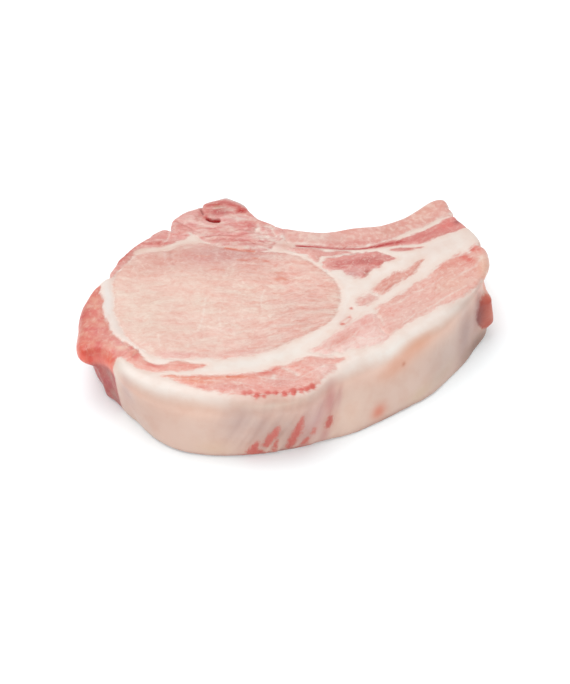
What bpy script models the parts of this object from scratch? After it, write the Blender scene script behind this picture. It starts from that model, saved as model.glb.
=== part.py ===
"""Raw bone-in pork rib chop, thick cut, lying flat on its lower cut face.

Units are metres, +Z is up.  The origin is at the middle of the underside.
+X runs towards the rib end, +Y runs from the fat cap towards the rib bone.

The chop is one slab of meat.  Every muscle, the rib bone and the fat that
joins them all run through the full thickness, so each solid is the slab cut
by an upright column of its own outline.  A hairline gap keeps them apart.
"""
import math

import bmesh
import bpy
from mathutils import Vector

MM = 0.001

THICKNESS = 29.0 * MM        # cut face to cut face
MIDDLE = (-1.54, -0.17)      # point of the outlines, in mm, that lies over the origin
SEAM = 0.3 * MM              # gap between neighbouring solids
FOOT_ROUND = 2.2 * MM        # rounding of the lower edge
RIM_STEPS = 4                # facets over the rounded upper edge
RIM_SPACING = 4.2 * MM       # facet length around the slab
OUTLINE_SPACING = 3.0 * MM   # facet length around a muscle
COLUMN_OVERRUN = 3.0 * MM    # how far the cutting columns pass both faces

# The slab's edge, clockwise from the left end, in millimetres:
# x, y on the upper half, how far the foot stands out from it,
# and the radius of the upper edge.
SLAB_EDGE = (
    (-85, -18, -4, 3.0),
    (-83, -3, -2, 2.5),
    (-77, 10, 0, 2.5),
    (-68, 25, 0, 2.5),
    (-56, 39, -1, 2.5),
    (-48, 48, -1, 2.5),
    (-38, 57, -1, 2.5),
    (-27, 62, -1, 3.0),
    (-18, 57, -1, 2.5),
    (-8, 44, 0, 2.5),
    (5, 38, 0, 2.0),
    (22, 38, 0, 2.0),
    (38, 42, 0, 2.0),
    (50, 48, 0, 2.0),
    (62, 60, 0, 2.0),
    (68, 54, 0, 2.5),
    (74, 42, 0, 2.5),
    (80, 31, 0, 2.5),
    (82, 19, 0, 2.5),
    (80, 7, 0, 2.5),
    (82, -2, -2, 2.5),
    (76, -10, 0, 4.0),
    (63, -18, 3, 6.0),
    (51, -28, 4, 6.0),
    (39, -38, 3, 6.0),
    (22, -47, 3, 6.0),
    (8, -55, 2, 6.0),
    (-8, -60, 0, 6.0),
    (-27, -62, 0, 6.0),
    (-46, -58, -2, 7.0),
    (-61, -50, -4, 8.0),
    (-71, -41, -7, 6.0),
    (-80, -37, -9, 4.0),
    (-85, -29, -7, 3.0),
)

# Outlines of the muscles and the bone, in millimetres.  Where one reaches
# the edge of the slab its outline passes outside, and the slab trims it.
LOIN_EYE = (
    (-72, 8), (-71.5, -3), (-69, -14), (-64, -25), (-56, -33), (-48, -36),
    (-30, -36), (-17, -35), (-6, -31), (4, -26), (14, -18), (19, -8),
    (19, 3), (14, 14), (4, 21), (-12, 24), (-26, 27), (-40, 28),
    (-53, 26), (-63, 21.5), (-69, 15.5),
)
CAP_MUSCLE = (
    (-80, 6), (-89, 0), (-93, -20), (-90, -38), (-80, -44), (-72, -40),
    (-66, -40), (-58, -43.5), (-46, -43.5), (-36, -41), (-42, -39), (-52, -39),
    (-60, -36.5), (-68, -27), (-73, -15), (-76, -4),
)
BACK_MUSCLE = (
    (-73, 18), (-80, 22), (-66, 45), (-46, 66), (-26, 70), (-12, 60),
    (-12, 47), (-15, 38), (-17, 30), (-28, 30), (-42, 31.5), (-54, 29.5),
    (-66, 24.5),
)
RIB_BONE = (
    (-7, 36), (-8, 44), (6, 48), (24, 46), (40, 52), (52, 62), (61, 68),
    (71, 60), (67, 50), (57, 42), (46, 37.5), (32, 33.5), (16, 32), (2, 32),
)
EDGE_MUSCLE = (
    (27, 29.5), (40, 32.5), (50, 36), (59, 41), (67, 48), (74, 53),
    (82, 46), (71, 38.5), (62, 33.5), (52, 29.5), (40, 27.5),
)
RIB_MUSCLE = (
    (10, 22), (18, 26), (30, 26.5), (41, 25.5), (45, 20), (36, 15),
    (28, 10), (20, 13),
)
LOWER_MUSCLE = (
    (-51, -47), (-44, -50.5), (-34, -54), (-18, -56), (-1, -55.5), (8, -51.5),
    (14, -46), (16, -39.5), (10, -36.5), (0, -38), (-10, -43), (-24, -46),
    (-38, -47),
)
SIDE_MUSCLE = (
    (8, -33), (16, -24), (26, -16), (35, -7), (45, 3), (56, 12), (68, 22),
    (78, 30), (88, 31), (90, 14), (85, 5), (74, 0.5), (65, -8), (57, -15),
    (46, -20), (36, -28), (26, -32), (17, -34.5),
)
END_FLAP = (
    (77, -1), (82, 2), (90, 0), (90, -16), (82, -22), (76, -13),
)

# name, outline, colour as displayed, roughness
COLUMNS = (
    ("loin_eye", LOIN_EYE, (0.906, 0.757, 0.706), 0.42),
    ("cap_muscle", CAP_MUSCLE, (0.808, 0.494, 0.439), 0.36),
    ("back_muscle", BACK_MUSCLE, (0.816, 0.541, 0.502), 0.38),
    ("rib_bone", RIB_BONE, (0.886, 0.694, 0.627), 0.50),
    ("edge_muscle", EDGE_MUSCLE, (0.765, 0.380, 0.350), 0.36),
    ("rib_muscle", RIB_MUSCLE, (0.745, 0.412, 0.388), 0.38),
    ("lower_muscle", LOWER_MUSCLE, (0.871, 0.616, 0.553), 0.38),
    ("side_muscle", SIDE_MUSCLE, (0.867, 0.608, 0.545), 0.38),
    ("end_flap", END_FLAP, (0.690, 0.384, 0.353), 0.38),
)
FAT_COLOUR = (0.945, 0.894, 0.835)
FAT_ROUGHNESS = 0.45


def clear_scene():
    """Remove every object that the file holds."""
    for thing in list(bpy.data.objects):
        bpy.data.objects.remove(thing, do_unlink=True)


def metres(points):
    """Outline points in metres, measured from the middle of the chop."""
    return [((p[0] - MIDDLE[0]) * MM, (p[1] - MIDDLE[1]) * MM,
             *(v * MM for v in p[2:])) for p in points]


def closed_curve(points, spacing):
    """Evenly spaced samples of a smooth closed curve through the points."""
    count = len(points)
    fine = []
    for i in range(count):
        p0, p1, p2, p3 = (points[(i + k - 1) % count] for k in range(4))
        for step in range(12):
            t = step / 12
            fine.append(tuple(
                0.5 * (2 * b + (c - a) * t
                       + (2 * a - 5 * b + 4 * c - d) * t * t
                       + (3 * b - a - 3 * c + d) * t ** 3)
                for a, b, c, d in zip(p0, p1, p2, p3)))
    lengths = [0.0]
    for a, b in zip(fine, fine[1:] + fine[:1]):
        lengths.append(lengths[-1] + math.dist(a[:2], b[:2]))
    total = lengths[-1]
    wanted = max(12, round(total / spacing))
    samples = []
    j = 0
    for i in range(wanted):
        target = total * i / wanted
        while lengths[j + 1] < target:
            j += 1
        a, b = fine[j], fine[(j + 1) % len(fine)]
        t = (target - lengths[j]) / (lengths[j + 1] - lengths[j])
        samples.append(tuple(u + (v - u) * t for u, v in zip(a, b)))
    return samples


def turning(samples):
    """+1 for a counter-clockwise outline, -1 for a clockwise one."""
    area = sum(a[0] * b[1] - b[0] * a[1]
               for a, b in zip(samples, samples[1:] + samples[:1]))
    return 1 if area > 0 else -1


def outward(samples, i):
    """Outward direction in plan at sample i."""
    before, after = samples[i - 1], samples[(i + 1) % len(samples)]
    along = Vector((after[0] - before[0], after[1] - before[1])).normalized()
    return Vector((along.y, -along.x)) * turning(samples)


def lofted(rings):
    """Closed mesh through rings of equal length, from bottom to top."""
    shape = bmesh.new()
    loops = [[shape.verts.new(co) for co in ring] for ring in rings]
    count = len(loops[0])
    for low, high in zip(loops, loops[1:]):
        for i in range(count):
            k = (i + 1) % count
            shape.faces.new((low[i], low[k], high[k], high[i]))
    shape.faces.new(list(reversed(loops[0])))
    shape.faces.new(loops[-1])
    bmesh.ops.recalc_face_normals(shape, faces=shape.faces)
    bmesh.ops.triangulate(
        shape, faces=[f for f in shape.faces if len(f.verts) > 4])
    return shape


def add_object(name, shape, smooth=False):
    """Put a bmesh into a named object in the scene."""
    mesh = bpy.data.meshes.new(name)
    shape.to_mesh(mesh)
    shape.free()
    thing = bpy.data.objects.new(name, mesh)
    bpy.context.scene.collection.objects.link(thing)
    for face in mesh.polygons:
        face.use_smooth = smooth
    return thing


def slab():
    """The whole chop: flared foot, upright side, rounded upper edge."""
    edge = closed_curve(metres(SLAB_EDGE), RIM_SPACING)
    normals = [outward(edge, i) for i in range(len(edge))]
    foot = ((0.0, 1.0), (0.3, 0.3), (1.0, 0.0))

    def ring(height_of, inset_of):
        points = []
        for (x, y, flare, rim), normal in zip(edge, normals):
            z = height_of(rim)
            rise = z / THICKNESS
            out = flare * (1 - rise) ** 1.3 - inset_of(rim)
            points.append((x + normal.x * out, y + normal.y * out, z))
        return points

    rings = [ring(lambda rim, h=h: h * FOOT_ROUND,
                  lambda rim, w=w: w * FOOT_ROUND) for h, w in foot]
    for share in (0.35, 0.68):
        rings.append(ring(lambda rim, s=share: s * THICKNESS, lambda rim: 0.0))
    for step in range(RIM_STEPS + 1):
        turn = math.radians(90) * step / RIM_STEPS
        rings.append(ring(
            lambda rim, a=turn: THICKNESS - rim * (1 - math.sin(a)),
            lambda rim, a=turn: rim * (1 - math.cos(a))))
    return lofted(rings)


def column(points, grow):
    """Upright column over an outline, grown outwards by grow."""
    outline = closed_curve(metres(points), OUTLINE_SPACING)
    grown = []
    for i, (x, y) in enumerate(outline):
        normal = outward(outline, i)
        grown.append((x + normal.x * grow, y + normal.y * grow))
    low = [(x, y, -COLUMN_OVERRUN) for x, y in grown]
    high = [(x, y, THICKNESS + COLUMN_OVERRUN) for x, y in grown]
    return lofted([low, high])


def combine(target, cutter, operation):
    """Apply an exact Boolean to target and discard the cutter."""
    step = target.modifiers.new("combine", "BOOLEAN")
    step.operation = operation
    step.solver = "EXACT"
    step.object = cutter
    graph = bpy.context.evaluated_depsgraph_get()
    result = bpy.data.meshes.new_from_object(target.evaluated_get(graph))
    target.modifiers.clear()
    target.data = result
    bpy.data.objects.remove(cutter, do_unlink=True)


def material(name, displayed, roughness):
    """Principled material from a displayed (sRGB) colour."""
    linear = [c / 12.92 if c <= 0.04045 else ((c + 0.055) / 1.055) ** 2.4
              for c in displayed]
    skin = bpy.data.materials.new(name)
    skin.use_nodes = True
    shader = skin.node_tree.nodes["Principled BSDF"]
    shader.inputs["Base Color"].default_value = (*linear, 1.0)
    shader.inputs["Roughness"].default_value = roughness
    shader.inputs["Metallic"].default_value = 0.0
    skin.diffuse_color = (*linear, 1.0)
    return skin


def main():
    clear_scene()
    root = bpy.data.objects.new("pork_chop", None)
    bpy.context.scene.collection.objects.link(root)

    fat = add_object("fat", slab())
    for name, points, colour, roughness in COLUMNS:
        piece = add_object(name, slab())
        combine(piece, add_object("cutter", column(points, 0.0)), "INTERSECT")
        combine(fat, add_object("cutter", column(points, SEAM)), "DIFFERENCE")
        piece.data.materials.clear()
        piece.data.materials.append(material(name, colour, roughness))
        piece.parent = root
    fat.data.materials.clear()
    fat.data.materials.append(material("fat", FAT_COLOUR, FAT_ROUGHNESS))
    fat.parent = root


main()
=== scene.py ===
"""Looks of a raw bone-in pork rib chop lying on a white sweep.

The chop's skin is one continuous fine mesh.  Every vertex knows how deep it
lies in lean or in fat, the tone of each there, and the way the meat fibres
run; one shader turns that into frayed edges, streaks and marbling.  The skin
is then parted into one piece for each muscle, the bone and the fat.

Lengths in this file are millimetres until a mesh is written, tones are as
displayed, 0-255, and turns are degrees.
"""
import math

import bmesh
import bpy
import numpy as np
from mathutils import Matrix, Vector
from mathutils.geometry import delaunay_2d_cdt


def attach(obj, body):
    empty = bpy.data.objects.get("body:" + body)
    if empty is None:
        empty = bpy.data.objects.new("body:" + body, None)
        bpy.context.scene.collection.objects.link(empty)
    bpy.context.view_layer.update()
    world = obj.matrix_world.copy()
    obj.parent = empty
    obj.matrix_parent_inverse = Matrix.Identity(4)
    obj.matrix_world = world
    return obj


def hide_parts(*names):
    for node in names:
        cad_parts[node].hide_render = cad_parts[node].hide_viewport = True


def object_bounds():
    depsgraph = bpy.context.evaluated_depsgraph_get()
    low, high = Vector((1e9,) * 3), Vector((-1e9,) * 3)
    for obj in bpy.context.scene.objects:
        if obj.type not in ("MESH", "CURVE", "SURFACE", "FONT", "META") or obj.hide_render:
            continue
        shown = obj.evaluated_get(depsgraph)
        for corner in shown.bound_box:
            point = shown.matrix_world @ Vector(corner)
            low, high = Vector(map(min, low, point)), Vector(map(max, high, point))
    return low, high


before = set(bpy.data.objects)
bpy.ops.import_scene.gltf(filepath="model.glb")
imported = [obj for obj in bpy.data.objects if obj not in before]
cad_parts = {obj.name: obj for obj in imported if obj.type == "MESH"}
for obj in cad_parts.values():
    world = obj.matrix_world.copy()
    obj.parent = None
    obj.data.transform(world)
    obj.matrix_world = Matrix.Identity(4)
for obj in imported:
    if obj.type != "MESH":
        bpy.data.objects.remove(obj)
CAD_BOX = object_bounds()

MM = 0.001
THICKNESS = round(CAD_BOX[1][2] / MM, 2)
MIDDLE = np.array((-1.54, -0.17))    # outline point over the row's origin
TOP_STEP = 0.52                      # facet size on the upper cut face
UNDER_STEP = 1.2                     # facet size on the hidden underside
SIDE_STEP = 0.62                     # facet size round and down the side
OUTLINE_STEP = 1.2                   # spacing along the outlines of lean and bone
ROW_GAP = 0.866                      # between rows of even triangles, for a step of 1
RIM_ROWS, FOOT_ROWS = 10, 5          # rings round the upper rim and round the foot
FOOT_ROUND = 1.4                     # radius of the foot
RIM_AND_FOOT = 8.0                   # height that the rim and the foot take up, about
WALL_CURVE = 1.3                     # how soon the wall leaves the foot's outline
LIP_TUCK = (4.0, 7.5)                # tucks of the foot between which a lip forms
LIP_HEIGHTS = (14.0, 24.5)           # between which that lip hangs over
SPREAD_ROUNDS = 900                  # smoothing of the directions in which the foot stands out
FOOT_ROUNDS = 40                     # smoothing of the foot's own outline
WALL_ROUNDS = 20                     # smoothing of the directions in which the rims curve in
CAP_BULGE = 3.6                      # how far the cap muscle's border bulges on the wall
CAP_BULGE_ARC = 0.75 * math.pi       # the part of a sine wave that it follows, going down
FLAP_MIDDLE, FLAP_HALF = (8.2, 12.6), (7.8, 8.8)    # along y and up
FLAP_LEAN = 0.3                      # rise of its near end for each mm along y
FLAP_DEPTH = 5.5                     # how deep its middle lies
EYE_CURL, EYE_CURL_FROM = 0.008, -22     # bend of the loin eye's fibres, from this x on
BROKEN_MEAT = (-9, 37, 10.5, 8.5)    # half fatty zone beside the bone: x, y, half-sizes
KNOB = (-28, 54, 9.5, 7.0)           # knob of the back muscle: x, y, half-sizes
TOP_FADE = (11, 3)                   # depths between which the cut face's tones fade in
FRONT_FADE = (-68, -64)              # x between which the front side's tones fade in
LIP_SHADE_HEIGHTS = (20, 23.8)       # between which the shade below the lip fades out
OUTSIDE = -99.0                      # depth where a part can't be
SMALL_PART_FORCE = 3.0               # how strongly streaks and beads win over the rest
NO_LOW, NO_HIGH = -9, 99             # heights of a notch with no lower or no upper end

# studio: lengths in metres
CAMERA_LENS, CAMERA_TILT = 100, 44
CAMERA_TARGET, CAMERA_DISTANCE = (-0.0005, -0.0131, 0.015), 0.7676
LAMP_SIZE = 0.9
LAMPS = {"overhead": ((-0.27, 0.20, 0.94), 6.9), "front_fill": ((0.15, -1.1, 0.75), 3.0)}
ROOM_LIGHT = 0.75
PAPER = {
    "Base Color": (0.86, 0.905, 0.92, 1), "Roughness": 0.9, "Specular IOR Level": 0.1,
    "Emission Color": (1, 1, 1, 1), "Emission Strength": 0.09,
}

# ---------------------------------------------------------------- outlines
# The slab's edge: x, y, how far the foot stands out, radius of the rim.
SLAB_EDGE = (
    (-84.5, -18, -5.8, 4.5), (-84.6, -10, -4.5, 4.2), (-83, -3.5, -3, 3.4),
    (-79.8, 4, -1, 2.6), (-76, 9.6, 0, 2.2), (-73.8, 13, 0, 2.0), (-68.2, 25, 0, 2.0),
    (-63.2, 31, -1, 2.0), (-58, 37.2, -1, 2.0), (-54, 39.6, -1, 2.0), (-50.9, 41, -1, 2.0),
    (-49, 46.6, -1, 2.2), (-44.2, 51.4, -1, 2.2), (-39.6, 54.6, -1, 2.4),
    (-35.5, 58.2, -1, 2.4), (-31.5, 60.2, -1, 2.8), (-27, 62, -1, 3.0),
    (-22.6, 59.4, -1, 3.0), (-19, 56, -1, 2.8), (-16.2, 51.8, -1, 2.6),
    (-12.5, 47.6, 0, 2.4), (-4, 42.4, 0, 2.0), (4, 39.8, 0, 2.0), (14, 38.8, 0, 2.0),
    (26, 41.2, 0, 2.0), (38, 43.2, 0, 2.0), (46.5, 47.3, 0, 2.0), (53, 52.4, 0, 2.0),
    (59.5, 58.7, 0, 2.0), (64, 60.4, 0, 2.0), (66.8, 58.8, 0, 2.0), (68.6, 52.8, 0, 2.0),
    (70.6, 47.6, 0, 2.0), (75.4, 41.8, 0, 2.2), (78.2, 36.3, 0, 2.2), (79.6, 31, 0, 2.2),
    (81.6, 26, 0, 2.4), (82.2, 19, 0.6, 2.6), (80.4, 13, 3.0, 2.2), (78.6, 8.8, 4.2, 2.2),
    (76.8, 4.8, 3.8, 2.2), (74.4, 1.0, 3.7, 2.6), (71, -3.6, 4.7, 3.2),
    (67.4, -8, 5.7, 3.6), (64.2, -12.4, 5.4, 3.8), (60.8, -16.6, 5.7, 4.0),
    (56.4, -20.2, 6.7, 4.2), (52.2, -22.9, 7.9, 4.5), (48.2, -25.4, 8.4, 4.8),
    (44.4, -28.4, 7.8, 5.0), (40.8, -31.8, 7.2, 5.0), (35.8, -35.9, 7.3, 5.0),
    (30, -39.2, 7.2, 5.0), (24, -42.8, 7.8, 5.0), (19.5, -45.4, 7.2, 5.0),
    (15.6, -48.4, 5.0, 5.0), (12.4, -52.4, 2.2, 5.2), (9.2, -56.4, -0.4, 5.5),
    (5, -59.2, -1.2, 5.5), (-0.5, -61.1, -2.0, 5.5), (-8, -62.3, -1.3, 5.5),
    (-15.5, -62.3, -0.2, 6.0), (-23, -61.2, 1.4, 6.5), (-30.7, -60.0, 2.5, 6.5),
    (-38.4, -58.9, 2.4, 6.5), (-46.2, -57.2, 1.0, 6.5), (-54, -54.7, -1.6, 6.5),
    (-59.4, -51.5, -3.8, 6.2), (-64, -47.6, -5.2, 5.5), (-67.4, -43.4, -4.4, 5.0),
    (-69.8, -38.8, -3.8, 4.6), (-72.2, -35.2, -3.8, 4.2), (-75, -33.2, -3.6, 4.0),
    (-77.8, -32.9, -5.2, 3.2), (-80.4, -33.8, -7.4, 2.2), (-82.8, -32.0, -9.2, 2.2),
    (-84.1, -27.4, -9.0, 3.4), (-84.4, -22.6, -7.7, 4.2),
)

EYE = (
    (-72, 6), (-70.8, -3.5), (-69.3, -12), (-67, -20.5), (-62, -27.5), (-55, -34.2),
    (-49, -36.8), (-38, -37.3), (-24, -37), (-16, -35.5), (-8, -32.2), (-1, -28.5),
    (5, -24), (12, -19), (17, -13.5), (20, -4.5), (20.2, 3), (17.5, 9), (12, 16.5),
    (5, 22), (-4, 25.2), (-16, 25.8), (-25, 27.6), (-32, 29.8), (-37, 31), (-44, 29.3),
    (-49, 27), (-57, 26), (-62, 24), (-68, 17), (-71, 11),
)
CAP = (
    (-78, 5.4), (-92, 4), (-97, -20), (-92, -44), (-80, -48), (-74.2, -45), (-71.8, -41.5),
    (-70.6, -38.8), (-68.0, -36.7), (-65.6, -36.2), (-63.0, -38.2), (-60.6, -39.8),
    (-58.6, -38), (-58.6, -34.4), (-62, -30.2), (-65.4, -27.6), (-68.4, -25),
    (-71, -21.6), (-72.8, -17), (-74.2, -11), (-75.2, -5), (-76.4, 1),
)
TAIL = (
    (-66, -27.6), (-61.6, -30.6), (-57.9, -35.2), (-55.4, -37.6), (-52, -40), (-48.7, -40.4),
    (-46, -38.8), (-42.6, -38.6), (-37, -40.2), (-31.5, -40.8), (-36, -42.9), (-42, -44.1),
    (-50.4, -44.3), (-56, -43.8), (-60, -41.8), (-63.4, -38.2), (-66.4, -34),
)
BACK = (
    (-75.5, 10.4), (-86, 16), (-72, 46), (-48, 70), (-24, 74), (-6, 62), (-4, 47),
    (-8, 37), (-7, 29), (-10, 25.8), (-17, 25.9), (-25, 27.6), (-31, 29.8), (-36, 32.4),
    (-38.4, 34.8), (-40, 37), (-41.4, 35.4), (-44, 33.6), (-47, 31.8), (-51.4, 29.6),
    (-56, 28.8), (-60.5, 28.2), (-63.8, 25.6), (-66.8, 19.2), (-70.4, 13.4), (-72.6, 10.4),
)
BONE = (
    (-6, 40), (-9, 52), (8, 50), (26, 48), (40, 54), (52, 64), (62, 70), (74, 60),
    (69, 51), (66, 49.2), (61.5, 46.6), (57, 42.8), (51.5, 40.2), (47, 36.6), (41, 33.2),
    (34, 30.8), (29, 29.2), (19.5, 29), (12, 29.4), (6, 30.6), (-1, 31), (-5, 34),
)
EDGE = (
    (2, 30), (12, 28.7), (20, 28.4), (29.5, 28.6), (36, 31), (42, 32.8), (47, 34.2),
    (52, 37.6), (58, 41.2), (62, 44.6), (67, 48.2), (72, 51), (80, 46), (73, 41.5),
    (67.5, 38), (61.5, 34.2), (55.5, 31.6), (49.5, 30.4), (40.5, 29.7), (33, 27.9),
    (19, 27.6), (8, 28.8),
)
RIB_DARK = (
    (13, 17.3), (14.6, 21.4), (17.6, 23.3), (21.5, 24.6), (27, 24.8), (33, 26), (38, 25.6),
    (43, 22.6), (42, 20.4), (39.5, 19.2), (37.5, 15.8), (34.5, 15.4), (32, 12.4),
    (29.5, 10.4), (24.5, 11.6), (21.5, 15), (17, 15.2),
)
RIB_BAND = (
    (-1, 27.4), (3.5, 28.4), (10.5, 27.9), (14, 26.6), (22.5, 26.8), (28, 25.7),
    (22, 24.6), (17.5, 23.6), (13.5, 22.8), (12, 20.4), (9.5, 21.2), (6.5, 23.8), (2, 25.8),
)
LOWER = (
    (-50, -46.6), (-41, -46.8), (-30, -46.6), (-19, -45.6), (-13, -44.2), (-7, -41.8),
    (-2, -39.8), (2.5, -37.8), (8, -36.2), (14.5, -36.3), (19.5, -36.2), (20.5, -38.2),
    (17.8, -40.5), (18, -43.5), (14, -46), (11.5, -49.5), (8.5, -52.5), (2, -54.5),
    (-6, -55.8), (-16, -56.3), (-27, -55.2), (-36, -53.4), (-41.5, -51), (-45.5, -48.8),
)
SIDE_NEAR = (
    (7.5, -33.2), (11, -29.5), (14.5, -26), (18.5, -22.5), (22.5, -19.3), (26.5, -15),
    (30, -11.8), (33.8, -11), (36, -14), (36, -19), (38, -22), (38.6, -24.8), (35.5, -28.4),
    (31, -30), (28, -32), (24, -31.8), (20.5, -33.5), (17.5, -32), (14.5, -34.6),
)
SIDE_FAR = (
    (34, -13), (34.6, -9.6), (36, -6), (39.5, -3.4), (44, 0.2), (48, 3.6), (51.5, 7.2),
    (56.5, 11), (60.5, 15.6), (65.5, 21), (70.5, 24.2), (73.8, 25.6), (75, 29),
    (80, 31.5), (92, 28), (92, 14), (80, 11), (76.6, 5.4), (73.4, 1.8), (70.2, -1.2),
    (65.5, -4.2), (60.6, -6.6), (56, -9.4), (51.5, -13), (47, -16.6), (42.6, -20.6),
    (39, -24), (36.5, -22), (35, -17),
)
FLAP = ((73.6, 2), (92, -6), (92, 17.4), (75.5, 17.4))
INNER_STRIP = (
    (33.5, 2.8), (36, 7), (39.5, 9.8), (43, 12.8), (47.5, 14.6), (51, 18), (55.5, 21.5),
    (52.5, 16), (50, 12), (46.5, 9.4), (43, 6), (40, 2.6), (36.5, 1),
)
INNER_DOT = (
    (27, -5.2), (28.2, -2.4), (30.4, -0.2), (33, 0.8), (35.6, -1.4), (33.5, -3.8),
    (30.8, -6.2), (28, -6.5),
)
EDGE_THREAD = (
    (41.5, 28.2), (46.5, 28.8), (51, 28.9), (55.5, 29.1), (51, 27.3), (46, 26.6), (42, 26.9),
)

# Lean parts: outline, displayed tone, fibre direction in degrees, marbling,
# streaking, raggedness of the edge in mm, softness of the edge in mm.
LEAN = {
    "loin_eye": (EYE, (240, 202, 188), 0, 0.52, 0.80, 0.40, 1.3),
    "cap_muscle": (CAP, (229, 144, 129), 70, 0.38, 0.45, 0.50, 1.2),
    "cap_tail": (TAIL, (243, 183, 168), -8, 0.40, 0.65, 0.40, 1.1),
    "back_muscle": (BACK, (231, 169, 161), 2, 0.45, 1.00, 0.50, 1.0),
    "edge_muscle": (EDGE, (228, 154, 146), 30, 0.35, 0.65, 0.45, 1.1),
    "rib_muscle": (RIB_DARK, (231, 162, 155), 18, 0.60, 0.80, 1.10, 1.3),
    "rib_band": (RIB_BAND, (225, 158, 150), -6, 0.55, 0.70, 0.70, 1.0),
    "lower_muscle": (LOWER, (242, 178, 165), 4, 0.65, 0.65, 0.50, 1.7),
    "side_near": (SIDE_NEAR, (247, 208, 199), 42, 0.60, 0.45, 0.70, 2.1),
    "side_far": (SIDE_FAR, (240, 189, 177), 41, 0.62, 0.50, 0.70, 1.9),
    "end_flap": (FLAP, (184, 92, 78), 80, 0.10, 0.60, 0.40, 1.0),
    "inner_strip": (INNER_STRIP, (231, 166, 153), 42, 0.60, 0.80, 0.60, 1.7),
    "inner_dot": (INNER_DOT, (234, 186, 176), 30, 0.60, 0.60, 0.60, 2.4),
    "edge_thread": (EDGE_THREAD, (224, 152, 145), 8, 0.20, 0.80, 0.30, 0.9),
}
# CAD node of each part that has one of its own; the rest lies in the fat.
NODE_OF = {
    "loin_eye": "loin_eye", "cap_muscle": "cap_muscle", "cap_tail": "cap_muscle",
    "back_muscle": "back_muscle",
    "edge_muscle": "edge_muscle", "rib_muscle": "rib_muscle",
    "lower_muscle": "lower_muscle", "side_near": "side_muscle",
    "side_far": "side_muscle", "end_flap": "end_flap", "rib_bone": "rib_bone",
}
BONE_TONE = (233, 176, 165)
FAT_TOP_TONE = (248, 235, 226)
FAT_SIDE_TONE = (221, 190, 175)
SEAM_TONE = (243, 226, 215)
FOLD_TONE = (198, 112, 106)
THREAD_TONE = (248, 230, 219)
FLECK_TONE = (222, 130, 108)
LIP_SHADE_TONE = (180, 92, 87)
LIP_DARK_TONE = (168, 92, 84)
MILKY = (0.72, 0.585, 0.50, 1.0)      # of pale veins and flecks, as a surface colour
SHEEN = 0.024                        # share of the light that the wet surface throws back
TOP_LIGHT = 1.38                     # brightness of a white card lying there
SIDE_LIGHT = 1.02                    # and of one standing on the front side

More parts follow.
